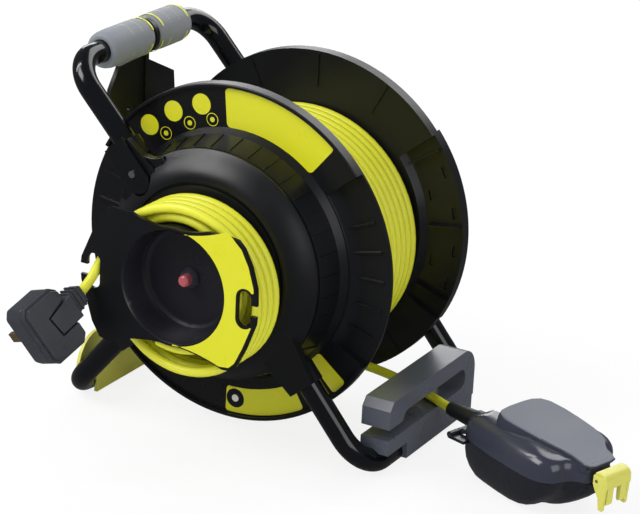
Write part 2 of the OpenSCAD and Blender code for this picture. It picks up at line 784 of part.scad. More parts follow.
module hinge_barrels(spans, r) {
    for (s = spans, m = [0, 1]) mirror([0, m, 0])
        translate([box_hinge[0], s[1], box_hinge[1]]) rotate([90, 0, 0]) cylinder(r = r, h = s[1] - s[0]);
}

module socket_base() {
    color(dark_grey) place() box_place() difference() {
        union() {
            loft(box_plan, [[0, 0.6, 0.64, -12], [3, 0.68, 0.78, -10.5], [8, 0.77, 0.88, -8],
                [16, 0.88, 0.96, -5], [24, 0.96, 0.99, -2], [seam_z, 1, 1]], box_mid);
            // neck that takes the cable
            translate([0.8, -11.5, 22]) cube([11.6, 23, 27]);
            hinge_barrels([[25, 35]], 3);
            for (m = [0, 1]) mirror([0, m, 0]) translate([box_hinge[0], 25, box_hinge[1] - 3])
                cube([16, 10, 3 + seam_z - box_hinge[1]]);
        }
        // well of the outlet
        translate([33, -25, 8]) cube([58, 50, 40]);
        // groove of the seal
        difference() {
            loft(box_plan, [[seam_z - 2.6, 0.93, 0.9], [seam_z + 1, 0.93, 0.9]], box_mid);
            loft(box_plan, [[seam_z - 4, 0.885, 0.83], [seam_z + 2, 0.885, 0.83]], box_mid);
            translate([0, -15, seam_z - 5]) cube([15, 30, 8]);
        }
        hinge_barrels([[24, 36]], 1.5 + fit);
        translate([-1, 0, cable_z]) rotate([0, 90, 0]) cylinder(r = 4.6, h = 20);
    }
}

module socket_gasket() {
    color(black) place() box_place() difference() {
        loft(box_plan, [[seam_z - 2.6, 0.929, 0.899], [seam_z, 0.929, 0.899]], box_mid);
        loft(box_plan, [[seam_z - 4, 0.886, 0.831], [seam_z + 2, 0.886, 0.831]], box_mid);
        translate([0, -15.05, seam_z - 5]) cube([15, 30.1, 8]);
    }
}

module socket_lid() {
    z = seam_z + 0.4;
    color(grey) place() box_place() difference() {
        union() {
            difference() {
                union() {
                    loft(box_plan, [[z, 1, 1], [41, 1, 1], [47, 0.97, 0.965], [51, 0.93, 0.92],
                        [55, 0.86, 0.84, 2], [58, 0.76, 0.74, 5]], box_mid);
                    intersection() {
                        loft(lid_plan, [[48, 1.06, 1.14], [56, 1.03, 1.06], [63, 1.01, 1.02],
                            [box_h + 4, 0.98, 0.96]], top_mid);
                        below(box_h);
                    }
                }
                // inside of the shell
                loft(box_plan, [[z - 1, 0.95, 0.93], [42, 0.94, 0.92], [49, 0.88, 0.86]], box_mid);
                intersection() {
                    loft(lid_plan, [[45, 0.93, 0.92], [box_h + 2, 0.91, 0.88]], top_mid);
                    below(box_h - 3);
                }
                // room for the neck and the cable
                translate([-12, -12.5, 28]) cube([26, 25, 23]);
                translate([box_hinge[0], 0, box_hinge[1]]) rotate([90, 0, 0])
                    cylinder(r = 22.5, h = 25, center = true);
                // room for the latch to swing
                translate([box_latch[0], 0, box_latch[1]]) rotate([90, 0, 0])
                    cylinder(r = 8.6, h = 33, center = true);
            }
            hinge_barrels([[13.5, 24.5]], 3);
            for (m = [0, 1]) mirror([0, m, 0]) translate([box_hinge[0], 13.5, z])
                cube([11, 11, box_hinge[1] + 3 - z]);
            // lug of the latch
            translate([box_latch[0], 0, box_latch[1]]) rotate([90, 0, 0]) cylinder(r = 3.8, h = 18, center = true);
            translate([box_latch[0] - 12, -9, z]) cube([12, 18, box_latch[1] - 1.5 - z]);
        }
        hinge_barrels([[12, 26]], 1.5 + fit);
        translate([box_latch[0], 0, box_latch[1]]) rotate([90, 0, 0])
            cylinder(r = 1.5 + fit, h = 40, center = true);
    }
}

// Outlet face with the three slots of the plug
module outlet_insert() {
    color(white) place() box_place() difference() {
        translate([33 + fit, -25 + fit, 8]) cube([58 - 2 * fit, 50 - 2 * fit, 22]);
        translate([78, -4.4, 14]) cube([4.8, 8.8, 17]);
        for (s = [-1, 1]) translate([56, s * 11.1 - 3.5, 14]) cube([4.8, 7, 17]);
    }
}

module socket_hinge_pin() {
    color(zinc) place() box_place() hinge_barrels([[13.5, 35]], 1.5);
}

// Boot over the cable, stepped like a spring so that it can bend
module strain_relief() {
    color(black) place() box_place() translate([-36, 0, cable_z]) rotate([0, 90, 0]) difference() {
        union() {
            cylinder(r1 = 5.9, r2 = 8.2, h = 31);
            translate([0, 0, 31]) cylinder(r = 9.2, h = 5.8);
        }
        translate([0, 0, -1]) cylinder(r = cable_r + fit, h = 11);
    }
}

module socket_latch() {
    color(yellow) place() box_place() translate([box_latch[0], 0, box_latch[1]]) difference() {
        union() {
            translate([-2, -15, 4.6]) cube([12.5, 30, 3]);
            for (s = [-1, 1]) {
                translate([-4, s * 13.5 - 1.5, -24]) cube([11.5, 3, 31.6]);
                translate([4.6, s * 9.8 - 5.2, -24]) cube([2.9, 10.4, 31.6]);
            }
        }
        rotate([90, 0, 0]) cylinder(r = 1.5 + fit, h = 40, center = true);
        // cut away behind the claws
        translate([-6, -20, -30]) rotate([0, -14, 0]) cube([9, 40, 26]);
    }
}

module latch_pin() {
    color(zinc) place() box_place() translate([box_latch[0], 0, box_latch[1]])
        rotate([90, 0, 0]) cylinder(r = 1.5, h = 30, center = true);
}

// ---------------------------------------------------------------- plug

module plug_place() {
    y = cross(plug_z, plug_x);
    translate(plug_at) multmatrix([
        [plug_x[0], y[0], plug_z[0], 0], [plug_x[1], y[1], plug_z[1], 0], [plug_x[2], y[2], plug_z[2], 0],
    ]) children();
}

module plug_outline(g) {
    offset(delta = g) polygon([[20, -26], [25, -31], [53, -31], [58, -25], [58, 17], [53, 23],
        [25, 23], [20, 18]]);
}

module plug_body() {
    color(dark_grey) place() plug_place() {
        translate([0, 0, -10]) linear_extrude(30) plug_outline(0);
        // grip round the cord
        translate([0, 0, -9]) linear_extrude(18) polygon([[0, -8], [21, -14], [21, 8], [0, 8]]);
    }
}

module plug_cover() {
    color(dark_grey) place() plug_place() translate([0, 0, -14]) linear_extrude(4) plug_outline(-2);
}

module plug_pins() {
    color(brass) place() plug_place() {
        translate([49, -8, 20]) cube([4, 8, 22.7]);
        for (s = [-1, 1]) translate([27, s * 11 - 7.2, 20]) cube([4, 6.4, 17.7]);
    }
}

module plug_screw() { color(zinc) place() plug_place() translate([39, -4, -15]) cylinder(r = 3, h = 1); }

// ---------------------------------------------------------------- wall bracket

// Plate that hangs from the grip's groove by an eye, with two holes for wall screws
module wall_bracket() {
    color(satin_black) place() translate([handle_x, groove_y, handle_z]) difference() {
        union() {
            bar(15.6, -2.5, 2.5);
            translate([-2, 0, 0]) rotate([90, 0, 90]) linear_extrude(4)
                polygon([[-52, -37], [-39, -19], [-5, -17.4], [47, -42], [49, -59], [49, -72], [38, -80],
                    [-42, -80], [-53, -66]]);
            translate([-4.5, -2.5, -78]) cube([9, 5, 64]);
        }
        bar(12.05, -4, 4);
        for (y = [-24, 20]) translate([-3, y, -60]) rotate([0, 90, 0]) cylinder(r = 2.3, h = 6);
    }
}

// ---------------------------------------------------------------- drawing

handle_tube();
right_foot_tube();
left_foot_tube();
grip_front();
grip_rear();
grip_collar();
front_bracket();
rear_bracket();
clamp_cover();
clamp_screws();
stub_axle();
axle_screws();
brush_carrier();
brushes();
rear_bush();
lead_spool();
spool_screws();
thermal_cutout();
button_bush();
reset_button();
cable_guide();
foot_plate();
front_flange();
hub_ring();
rear_flange();
barrel();
flange_screws();
front_bush();
slip_rings();
rear_hub();
crank_arm();
crank_screw();
knob_pin();
crank_knob();
cable_core();
cable_winding();
lead_coil();
lead_tail();
plug_body();
plug_cover();
plug_pins();
plug_screw();
trailing_cord();
strain_relief();
socket_base();
outlet_insert();
socket_gasket();
socket_hinge_pin();
socket_lid();
latch_pin();
socket_latch();
wall_bracket();
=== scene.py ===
# %% [markdown]
# # Dressing a cable reel
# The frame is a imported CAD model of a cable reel: a drum between two moulded brackets on bent steel
# tubes. The pieces already sit where they belong, in metres. This script gives each of them its real
# material, and models what a CAD solid leaves plain: cords, printed panels and soft moulded edges.

import math

import bmesh
import bpy
from mathutils import Matrix, Vector


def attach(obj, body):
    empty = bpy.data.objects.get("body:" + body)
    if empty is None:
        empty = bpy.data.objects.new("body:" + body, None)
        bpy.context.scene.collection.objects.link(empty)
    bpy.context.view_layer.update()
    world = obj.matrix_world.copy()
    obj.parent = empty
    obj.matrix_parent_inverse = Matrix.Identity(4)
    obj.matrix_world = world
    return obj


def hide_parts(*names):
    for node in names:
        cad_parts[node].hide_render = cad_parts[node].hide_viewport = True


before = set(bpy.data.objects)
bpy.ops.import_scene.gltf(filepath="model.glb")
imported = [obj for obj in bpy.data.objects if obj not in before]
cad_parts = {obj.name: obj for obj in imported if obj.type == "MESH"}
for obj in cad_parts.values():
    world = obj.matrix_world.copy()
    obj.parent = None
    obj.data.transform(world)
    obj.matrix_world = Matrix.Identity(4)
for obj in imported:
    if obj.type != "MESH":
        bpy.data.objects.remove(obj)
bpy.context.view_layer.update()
AXLE = Vector((0.0020368, -0.010, 0.1576633))  # middle of the drum's axle, in metres


def at(x, y, z):
    """A point in millimetres from the middle of the axle, turned to metres in the frame's axes."""
    return AXLE + Vector((x, y, z)) * 0.001


# %% [markdown]
# ## Camera
# A long lens from the front right, a little above, flattens the drum's circles only slightly. The
# camera's three axes are written out, so the view does not depend on a target or a constraint.

# %% Camera
scene = bpy.context.scene
camera = bpy.data.objects.new("camera", bpy.data.cameras.new("camera"))
scene.collection.objects.link(camera)
right = Vector((0.86890531, 0.49287921, 0.0455374))
up = Vector((-0.21074721, 0.28514202, 0.93502922))
back = Vector((0.44787184, -0.82204873, 0.35163433))
axes = Matrix((right, up, back)).transposed().to_4x4()
camera.matrix_world = Matrix.Translation((0.98686, -1.73628, 0.88283)) @ axes
camera.data.lens = 140.6
camera.data.sensor_width = 36
camera.data.clip_start = 0.05
camera.data.clip_end = 60
scene.camera = camera
print("camera at", tuple(round(c, 3) for c in camera.location))

# %% [markdown]
# ## Colours and nodes
# A designer's hex colour is sRGB, while a shader socket takes linear light, so one function converts
# every colour. A second one adds a shader node with its settings, values and links in one line.

# %% Colour and node helpers


def linear(code, level=1.0):
    """An sRGB hex code as a linear colour, made lighter or darker by level."""
    parts = [int(code[i : i + 2], 16) / 255 for i in (1, 3, 5)]
    light = [c / 12.92 if c < 0.04045 else ((c + 0.055) / 1.055) ** 2.4 for c in parts]
    return [min(1, level * c) for c in light] + [1.0]


def node(tree, kind, inputs=None, **settings):
    """Adds a shader node. An input that is another node's output is linked, any other is set."""
    made = tree.nodes.new("ShaderNode" + kind)
    for name, value in settings.items():
        setattr(made, name, value)
    for key, value in (inputs or {}).items():
        if isinstance(value, bpy.types.NodeSocket):
            tree.links.new(value, made.inputs[key])
        else:
            made.inputs[key].default_value = value
    return made


print("the middle grey #808080 is", round(linear("#808080")[0], 3), "in linear light")

# %% [markdown]
# ## Surfaces
# Most of the reel is injection moulded or painted. Such a surface has three scales: clouds of slightly
# different gloss where hands and dust have been, a tool or paint texture, and the shader's own
# roughness. The real texture is a few tenths of a millimetre wide and would not show from here, so it
# is drawn one to four millimetres wide. One recipe makes every finish, and the numbers say which.

# %% A recipe for moulded, painted and plated surfaces


def surface(name, colour, rough, grain=1.2, relief=0.02, cloud=40, tint=0.12, patch=0.06, metallic=0.0,
            **extra):
    """Colour as hex; grain, relief and cloud in millimetres; tint and patch are how far they vary."""
    material = bpy.data.materials.new(name)
    material.use_nodes = True
    tree = material.node_tree
    shader = tree.nodes["Principled BSDF"]
    place = node(tree, "TexCoord").outputs["Object"]
    clouds = node(tree, "TexNoise", {"Vector": place, "Scale": 1000 / cloud, "Detail": 4.0, "Roughness": 0.6})
    grains = node(tree, "TexNoise", {"Vector": place, "Scale": 1000 / grain, "Detail": 2.0})
    ends = {"Factor": clouds.outputs["Fac"], 6: linear(colour, 1 - tint), 7: linear(colour, 1 + tint)}
    mixed = node(tree, "Mix", ends, data_type="RGBA")
    gloss = node(tree, "MapRange", {"Value": clouds.outputs["Fac"], "From Min": 0.3, "From Max": 0.7,
                                    "To Min": rough - patch, "To Max": rough + patch})
    bump = node(tree, "Bump", {"Height": grains.outputs["Fac"], "Strength": 0.6, "Distance": relief / 1000})
    tree.links.new(mixed.outputs[2], shader.inputs["Base Color"])
    tree.links.new(gloss.outputs[0], shader.inputs["Roughness"])
    tree.links.new(bump.outputs["Normal"], shader.inputs["Normal"])
    shader.inputs["Metallic"].default_value = metallic
    for key, value in extra.items():
        shader.inputs[key.replace("_", " ")].default_value = value
    return material


# %% [markdown]
# ## Materials
# Each material is named for what the real one is and how its surface was made, and two of them also
# for the painted light that they carry. One plastic differs from another mostly in its roughness and
# the size of its texture, and much less in its IOR. Zinc and brass are metals, so their colour sits in
# the reflection and the IOR keeps its default.

# %% The materials
# Black ABS from a spark-eroded mould is satin, so its highlights are broad and soft.
black_abs = surface("black_abs_moulded", "#101115", 0.36, grain=1.3, relief=0.02, IOR=1.46)
# The same plastic inside the cup, painted a shade paler: painted light for the stray light caught there.
cup_lit_abs = surface("black_abs_cup_painted_light", "#1f1e25", 0.32, grain=1.6, relief=0.02, IOR=1.5)
# Where the mould is polished, the plastic looks deeper and its highlights are narrow.
polished_abs = surface("black_abs_polished", "#0d0e12", 0.22, grain=3.0, relief=0.01, IOR=1.5)
# Powder coat flows as it bakes, which gives the tubes a wet gloss and a little orange peel.
powder_coat = surface("black_powder_coat", "#0b0c10", 0.14, grain=3.5, relief=0.02, patch=0.03, IOR=1.5)
# Mid-grey ABS with a fine moulded grain, which spreads the highlight over the face.
grey_abs = surface("grey_abs_moulded", "#535761", 0.3, grain=1.4, relief=0.04, IOR=1.53)
# Slate grey ABS from a smooth mould has a clear sheen, which shows how the lid is curved.
slate_abs = surface("slate_grey_abs", "#363945", 0.2, grain=3.0, relief=0.015, IOR=1.53)
# The lower shell is the same plastic in a nearly black grey.
base_abs = surface("dark_slate_abs", "#1f2027", 0.26, grain=3.0, relief=0.015, IOR=1.53)
# An etched texture takes the sheen away, so the lid's panel looks flat and pale.
textured_abs = surface("grey_abs_textured", "#595e69", 0.46, grain=0.9, relief=0.05, IOR=1.5)
# Plugs are pressed from urea, which is hard and evenly satin.
plug_abs = surface("dark_grey_urea", "#33353c", 0.3, grain=1.5, relief=0.03, IOR=1.53)
# Soft-touch foam has open pores, so it stays dull and a little mottled.
foam = surface("grey_soft_touch_foam", "#84888e", 0.6, grain=1.5, relief=0.08, tint=0.1, IOR=1.48)
# An extruded PVC sheath is slightly waxy, with one long highlight along the cable.
pvc_cable = surface("yellow_pvc_sheath", "#dcdc31", 0.42, grain=2.0, tint=0.05, cloud=60, IOR=1.52)
# Yellow ABS, satin, for the arcs that are moulded into the grip.
yellow_abs = surface("yellow_abs_moulded", "#d9dc22", 0.35, grain=1.6, relief=0.02, tint=0.05, IOR=1.53)
# The yellow ABS painted paler for the foot plate and the latch: painted light, for the highlights that wash
# out their yellow.
pale_lit_abs = surface("yellow_abs_painted_light", "#d6d35e", 0.4, grain=1.6, relief=0.02, tint=0.05, IOR=1.53)
# Printed vinyl is flat and even, with the gloss of the clear film over the ink.
yellow_print = surface("yellow_printed_vinyl", "#d6d51d", 0.3, grain=4.0, relief=0.005, tint=0.03, IOR=1.5)
black_print = surface("black_printed_vinyl", "#121214", 0.28, grain=4.0, relief=0.005, tint=0.05, IOR=1.5)
# The PVC of a boot is soft enough to bend with the cable: black, dull and rubbery.
rubber = surface("black_pvc_boot", "#151619", 0.5, grain=1.2, relief=0.03, IOR=1.52)
# Red ABS, smooth, its colour a little faded.
red_abs = surface("red_abs_button", "#b3575c", 0.3, grain=2.0, relief=0.01, tint=0.06, IOR=1.53)
# Uncoloured nylon is off-white and waxy.
nylon = surface("natural_nylon", "#dcdad0", 0.45, grain=1.5, relief=0.02, tint=0.04, IOR=1.53)
# Bright zinc is a cool mirror with a fine grain.
zinc = surface("bright_zinc_plate", "#c3c7cc", 0.26, grain=1.0, relief=0.01, metallic=1.0)
# Drawn brass is a warm mirror, a little smoother than the zinc.
brass = surface("drawn_brass", "#cdb184", 0.22, grain=1.0, relief=0.01, metallic=1.0)

LOOKS = {
    black_abs: "front_bracket rear_bracket front_flange hub_ring rear_flange barrel lead_spool crank_arm "
    "wall_bracket grip_collar crank_knob",
    polished_abs: "clamp_cover",
    powder_coat: "handle_tube right_foot_tube left_foot_tube",
    grey_abs: "cable_guide",
    slate_abs: "socket_lid rear_hub",
    base_abs: "socket_base",
    plug_abs: "plug_body plug_cover plug_screw thermal_cutout button_bush brush_carrier",
    foam: "grip_front grip_rear",
    pvc_cable: "cable_core cable_winding lead_coil lead_tail trailing_cord",
    # The foot plate and the latch take the yellow painted paler, as painted light.
    pale_lit_abs: "foot_plate socket_latch",
    rubber: "strain_relief socket_gasket",
    red_abs: "reset_button",
    nylon: "front_bush rear_bush outlet_insert",
    zinc: "clamp_screws stub_axle axle_screws spool_screws flange_screws crank_screw knob_pin "
    "socket_hinge_pin latch_pin",
    brass: "brushes slip_rings plug_pins",
}
for material, names in LOOKS.items():
    for name in names.split():
        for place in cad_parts[name].material_slots:
            place.material = material
print(sum(len(names.split()) for names in LOOKS.values()), "nodes have a material")

# %% [markdown]
# ## Moulded edges
# No moulded edge is truly sharp: the tool's own radius, often half a millimetre to three, catches the
# light as a thin bright line. A merged copy of the CAD mesh with a live bevel gives that line. Weighted
# normals keep the large faces flat and let the narrow ones carry the curve.

# %% Pieces and softened copies
NECK_TOP = 0.0455  # the top of the lower shell's neck, level with the sill of the lid


def built(name, shape, material, body):
    """Turns a bmesh into an object of one material that rides on a body."""
    bmesh.ops.recalc_face_normals(shape, faces=shape.faces)
    mesh = bpy.data.meshes.new(name)
    shape.to_mesh(mesh)
    shape.free()
    mesh.materials.append(material)
    piece = bpy.data.objects.new(name, mesh)
    scene.collection.objects.link(piece)
    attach(piece, body)
    return piece


def rounded(piece, width, replaced=(), angle=30):
    """Live rounding of a piece, in millimetres and degrees, and the CAD nodes that it stands for."""
    bevel = piece.modifiers.new("edge", "BEVEL")
    bevel.width = width / 1000
    bevel.segments = 3
    bevel.limit_method = "ANGLE"
    bevel.angle_limit = math.radians(angle)
    for face in piece.data.polygons:
        face.use_smooth = True
    piece.modifiers.new("normals", "WEIGHTED_NORMAL").keep_sharp = True
    if replaced:
        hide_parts(*replaced)
    return piece


def softened(name, body, width):
    """A merged copy of a CAD node with rounded edges; width in millimetres."""
    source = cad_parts[name]
    shape = bmesh.new()
    shape.from_mesh(source.data)
    shape.transform(source.matrix_world)
    bmesh.ops.remove_doubles(shape, verts=shape.verts, dist=0.00002)
    bmesh.ops.dissolve_limit(shape, angle_limit=math.radians(0.6), verts=shape.verts, edges=shape.edges)
    for face in shape.faces:
        face.material_index = 0
    if name == "socket_base":
        for corner in shape.verts:
            corner.co.z = min(corner.co.z, NECK_TOP)
    material = source.material_slots[0].material
    return rounded(built(name + "_moulded", shape, material, body), width, (name,), 35)


SOFT = (
    ("socket_base", "root", "dark_grey_shell", 1.4),
    ("cable_guide", "root", "grey_guide", 3.0),
    ("foot_plate", "root", "yellow_panel", 1.2), ("front_bracket", "root", "black_shell", 0.8),
    ("lead_spool", "root", "black_shell", 0.6), ("clamp_cover", "root", "black_shell", 0.6),
    ("wall_bracket", "wall_bracket", "black_shell", 0.8), ("hub_ring", "drum", "black_shell", 0.4),
    ("front_flange", "drum", "black_shell", 0.7), ("rear_flange", "drum", "black_shell", 0.9),
    ("grip_front", "root", "grip_foam", 2.5), ("grip_rear", "root", "grip_foam", 2.5),
)
for name, body, slot, width in SOFT:
    piece = softened(name, body, width)
    print(name, len(piece.data.polygons), "faces")

# %% [markdown]
# The inside of the spool's cup looks a little paler than the plate round it, from the stray light it
# catches. So its faces take a second material, painted paler as painted light: those within the cup's
# radius and between its floor and its mouth.

# %% The cup of the spool
CUP_R, CUP_MOUTH, CUP_FLOOR = 0.0478, -0.1615, -0.13
cup = bpy.data.objects["lead_spool_moulded"]
# The second material is the black plastic painted paler, as painted light inside the cup.
cup.data.materials.append(cup_lit_abs)
for face in cup.data.polygons:
    place = face.center - AXLE
    if math.hypot(place.x, place.z) < CUP_R and CUP_MOUTH < place.y < CUP_FLOOR:
        face.material_index = 1
print(sum(face.material_index for face in cup.data.polygons), "faces in the cup")

# %% [markdown]
# ## The trailing socket
# The socket lies on the floor, turned a little towards the viewer. A frame of its own makes its shapes
# easy to write: X from the cable to the latch, Z up. Its lid is a thin dome with a raised panel that
# falls to the latch in one slope. Both are outlines in plan, stacked in levels and bridged.

# %% Bodies from rings and outlines
under_neck = AXLE + Vector((0.2065, -0.0055, -AXLE.z))  # on the floor, at the cable's end of the box
BOX = Matrix.Translation(under_neck) @ Matrix.Rotation(math.radians(-18), 4, "Z")


def skin(rings, axes):
    """A closed body through rings with the same number of points, in millimetres in its own axes."""
    shape = bmesh.new()
    loops = []
    for ring in rings:
        corners = [shape.verts.new(axes @ (Vector(point) * 0.001)) for point in ring]
        loops.append([shape.edges.new(pair) for pair in zip(corners, corners[1:] + corners[:1])])
    for one, two in zip(loops, loops[1:]):
        bmesh.ops.bridge_loops(shape, edges=one + two)
    for loop in (loops[0], loops[-1]):
        bmesh.ops.edgeloop_fill(shape, edges=loop)
    return shape


def prism(outline, low, high, axes, flat="Y"):
    """An outline extruded along Y or Z of its own axes."""
    if flat == "Y":
        return skin([[(a, end, b) for a, b in outline] for end in (low, high)], axes)
    return skin([[(a, b, end) for a, b in outline] for end in (low, high)], axes)


def grey_part(name, shape, material, body, width, replaced, angle=30):
    """A rounded piece of the grey plastic, which stands for CAD nodes."""
    return rounded(built(name, shape, material, body), width, replaced, angle)


print("the box's frame is at", tuple(round(c, 4) for c in BOX.translation))

# %% [markdown]
# The dome is drawn in plan once. Each level scales that outline about the middle of the box and lifts
# it, and a level never rises above the slope that the panel lies on. On the far side, away from the
# viewer, the dome stays lower near the cable, where the lid is flat. Three levels make its inside.

# %% The dome of the lid
MIDDLE = 58  # where the dome's levels shrink to, along the box
FAR_LOW, NEAR_RISE = 39, 12  # the dome's height at the cable, and how much more the near side may have


def slope(x):
    """Height of the sloping panel, in millimetres."""
    return 68 - math.tan(math.radians(10.3)) * (x - 35)


def level(outline, z, long=1.0, wide=1.0, shift=0.0, drop=3.0):
    """An outline scaled about the middle of the box, at a height that stays below the sloping panel."""
    points = [(MIDDLE + shift + (x - MIDDLE) * long, y * wide) for x, y in outline]
    caps = [FAR_LOW + max(0, 0.5 * x - 4) + NEAR_RISE * (y < 1) for x, y in points]
    return [(x, y, min(z, slope(x) - drop, cap)) for (x, y), cap in zip(points, caps)]


flank = [(2.2, 17), (4, 21.5), (7, 26), (12, 29), (17, 31), (25, 33.2), (33, 35), (46, 37.8), (60, 40),
         (74, 42.2), (85, 43.5), (94, 43.6), (100, 43), (105, 41.4), (109, 39), (112, 35.4), (114, 31),
         (114.8, 27), (116, 23), (118.6, 19.6), (122, 17), (126, 15.4), (129, 13)]
plan = [(20.3, 0), (20.3, 12.6), (2.2, 12.8)] + flank + [(130, 9)]
plan += [(x, -y) for x, y in reversed(plan[1:])]
outside = ((34.4, 1, 1), (41, 1, 1), (44.5, 0.99, 0.985), (47.5, 0.972, 0.962), (50, 0.948, 0.93),
           (52.2, 0.918, 0.885), (54, 0.882, 0.83), (55.4, 0.84, 0.76, 1), (56.4, 0.79, 0.68, 2),
           (57, 0.72, 0.56, 4))
inside = ((51, 0.86, 0.8), (47, 0.92, 0.89), (34.9, 0.95, 0.94))
dome = [level(plan, *row, drop=6.5) for row in inside] + [level(plan, *row) for row in outside]
grey_part("lid_dome", skin(dome, BOX), slate_abs, "socket_lid", 0.7, ("socket_lid",), 50)
print(len(dome), "levels of", len(plan), "points")

# %% [markdown]
# The raised panel is stacked the same way, from a wide foot inside the dome to its chamfered top. Its
# end reaches over the lug like a tongue, so the lower rings draw back there. Only the faces that look
# up have the texture.

# %% The panel of the lid
TONGUE, TONGUE_LONG = 118, 14  # where the panel's tongue begins, and its length
far = [(36.6, 8), (37.4, 17), (40.6, 24.6), (47, 29), (60, 31.6), (75, 32.6), (92, 32.4), (103, 30.6),
       (109.5, 27.4), (114, 22.4), (119, 18.8), (126, 17), (131, 14.5), (132.6, 9)]
near = [(132.6, -9), (131, -14), (126, -16.2), (113, -15.4), (104, -17), (96, -19), (84, -21.2),
        (72, -23.2), (60, -25), (48, -26), (41, -24), (37.6, -17), (36.6, -8)]
panel = []
for grow, down in ((2.2, 11), (1.6, 5), (0.9, 1.6), (0, 0.35), (-1.2, 0)):
    ring = []
    for x, y in far + near:
        reach = max(0.0, (x - TONGUE) / TONGUE_LONG) * (down > 3)
        x += grow * (x - 84) / 48 - 6 * reach
        ring.append((x, y * (1 + grow / 30), slope(x) - down + 5 * reach))
    panel.append(ring)
top = grey_part("lid_panel", skin(panel, BOX), slate_abs, "socket_lid", 0.5, ("socket_lid",))
top.data.materials.append(textured_abs)
for face in top.data.polygons:
    face.material_index = int(face.normal.z > 0.9)
print(len(panel), "rings of", len(far + near), "points")

# %% [markdown]
# Two ears hold the hinge pin, a lug holds the latch, and a sill closes the notch in front of the neck.
# The sill's face is an arc round the hinge, so it passes the neck when the lid swings.

# %% Ears, lug and sill


def about_hinge(radius, first, last, step):
    """Points on an arc round the lid's hinge, in the box's side view."""
    turns = [math.radians(a) for a in range(first, last, step)]
    return [(-2.6 + radius * math.cos(a), 34.2 + radius * math.sin(a)) for a in turns]


ear = [(6, 35), (8.4, 38), (0.5, 38.6)] + about_hinge(3, 60, 331, 18)
lug = [(126, 35), (136.6, 35), (139, 37.2), (141.6, 38.4), (142.8, 41), (141.6, 43.8), (139, 44.8),
       (136, 43.4), (134, 40), (126, 39)]
sill = about_hinge(19.7, 2, 35, 8) + [(15.4, 45.4), (21, 45), (21, 35)]
lid_parts = (("ear_right", ear, 13.6, 24.4), ("ear_left", ear, -24.4, -13.6), ("lug", lug, -9, 9),
             ("sill", sill, -12.4, 12.4))
for name, outline, low, high in lid_parts:
    grey_part("lid_" + name, prism(outline, low, high, BOX), slate_abs, "socket_lid", 0.5, ("socket_lid",))
print(len(lid_parts), "small parts of the lid")

# %% [markdown]
# The latch is a hood over the lid's lug, with an arm down each side and two claws between the arms.
# All of them are side views, drawn as an outline round the latch's pin and extruded across.

# %% Latch
PIVOT = BOX @ Matrix.Translation((0.139, 0, 0.041))


def latch_part(name, outline, low, high, width):
    """A rounded side view of the latch, between two places across."""
    shape = prism(outline, low, high, PIVOT)
    rounded(built("latch_" + name, shape, pale_lit_abs, "socket_latch"), width, ("socket_latch",))


hood = [(-2, 4.6), (-2, 7.0), (0.5, 8.0), (4.5, 8.0), (8.2, 6.4), (10.2, 3.4), (10.5, -1), (10.4, -5),
        (7.8, -5), (7.6, 1), (6.4, 4.6)]
arm = [(-3.6, 4.8), (-4, -3), (-1.6, -8), (2.2, -14), (3.2, -23.5), (7.4, -24), (8.2, -22), (9.6, -5),
       (8.6, 4.8)]
claw = [(4.8, -4), (4.8, -18), (6.2, -20), (9.2, -18.5), (10, -4)]
latch_part("hood", hood, -15, 15, 1.1)
for side in (-1, 1):
    latch_part(f"arm_{side + 1}", arm, *sorted((side * 12, side * 15)), 0.9)
    latch_part(f"claw_{side + 1}", claw, *sorted((side * 4.2, side * 11.4)), 0.9)
print("latch of five pieces")

# %% [markdown]
# The plug is extruded too, in a frame with X from the cord to the far edge and Z towards the pins: a
# case, a thinner belt, a back that leaves room for the cord grip, and a collar with three ribs.

# %% Plug
plug_x, plug_z = Vector((-0.2147, -0.8810, -0.4235)), Vector((-0.8544, 0.3799, -0.3571))
turn = Matrix((plug_x, plug_z.cross(plug_x), plug_z)).transposed().to_4x4()
PLUG = Matrix.Translation(at(-78.6, -176.1, -18.1)) @ turn
case = [(20, -26), (25, -31), (53, -31), (58, -25), (58, 17), (53, 23), (25, 23), (20, 18)]
inset = [(21, -24), (26, -28.6), (52, -28.6), (56, -24), (56, 16), (52, 21), (26, 21), (21, 17)]
cover = inset[1:-1] + [(21, 17), (21, 9.6), (40.6, 4.6), (38.6, -14.4), (21, -13.6), (21, -24)]
grip = [(14, 8.6), (39.6, 3.8), (37.7, -13.2), (14, -12.6)]
collar = [(0, -7.4), (16, -12), (21, -13), (21, 8), (0, 7.4)]
plug = [
    ("plug_case", case, -4.6, 20, 2.2, ("plug_body",)), ("plug_belt", case, -10, -5, 0.8, ("plug_body",)),
    ("plug_back", cover, -14, -9, 0.9, ("plug_cover", "plug_screw")),
    ("plug_grip_panel", grip, -14, -8.6, 0.7, ("plug_cover",)),
    ("plug_collar", collar, -8.4, 8.4, 1.2, ("plug_body",)),
]
for k in range(3):
    x = 3.5 + 4.2 * k
    rib = [(x, -8.6 - k), (x + 1.8, -9 - k), (x + 1.8, 8.8), (x, 8.8)]
    plug.append((f"plug_rib_{k}", rib, -9.8, 9.8, 0.5, ("plug_body",)))
for name, outline, low, high, width, nodes in plug:
    grey_part(name, prism(outline, low, high, PLUG, "Z"), plug_abs, "root", width, nodes)
print("plug of", len(plug), "pieces")

# %% [markdown]
# Where the handle's arm leaves the disc, each side swings into the rim in a hollow curve. The curve is
# an arc that touches the sleeve's side and the disc's rim. It is drawn in the leg's own frame, whose
# origin stands eight millimetres off the axle, and extruded across.

# %% Webs of the front bracket
LEG_OFFSET = 8  # from the axle to the middle of the leg, in millimetres


